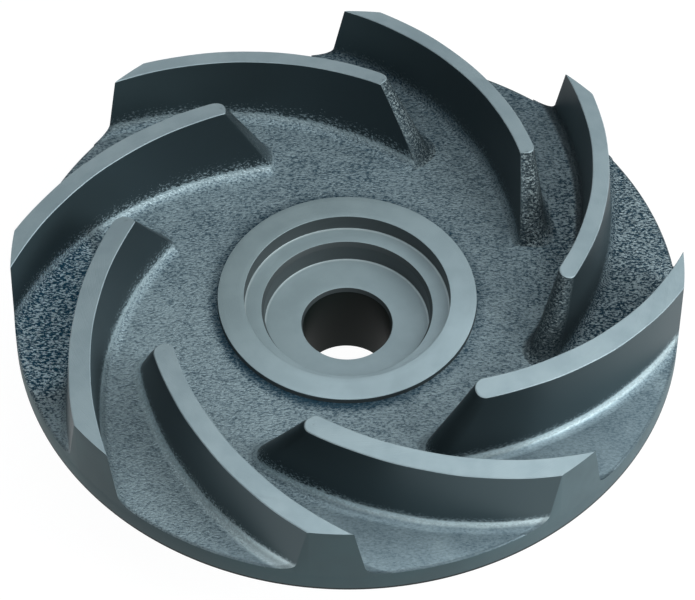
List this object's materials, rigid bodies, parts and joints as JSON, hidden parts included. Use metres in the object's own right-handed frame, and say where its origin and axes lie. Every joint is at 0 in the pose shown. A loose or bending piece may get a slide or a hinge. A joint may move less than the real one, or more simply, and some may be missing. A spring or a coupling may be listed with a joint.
{
  "type": "pump impeller",
  "caption": "Semi-open pump impeller casting: a round shroud plate with backward-curved vanes around a bored hub that has a stepped recess.",
  "frame": {"origin": "centre of the hub's back end face, on the shaft axis", "axes": "+Z along the shaft axis towards the suction side, +X and +Y across it, with -Y towards the vane passage below the hub"},
  "size_m": [0.15, 0.15, 0.051],
  "materials": {
    "casting": "as cast with fine grain, hub ring, recess, rim and vane faces turned satin"
  },
  "bodies": {
    "root": {"impeller": "casting"}
  },
  "joints": []
}
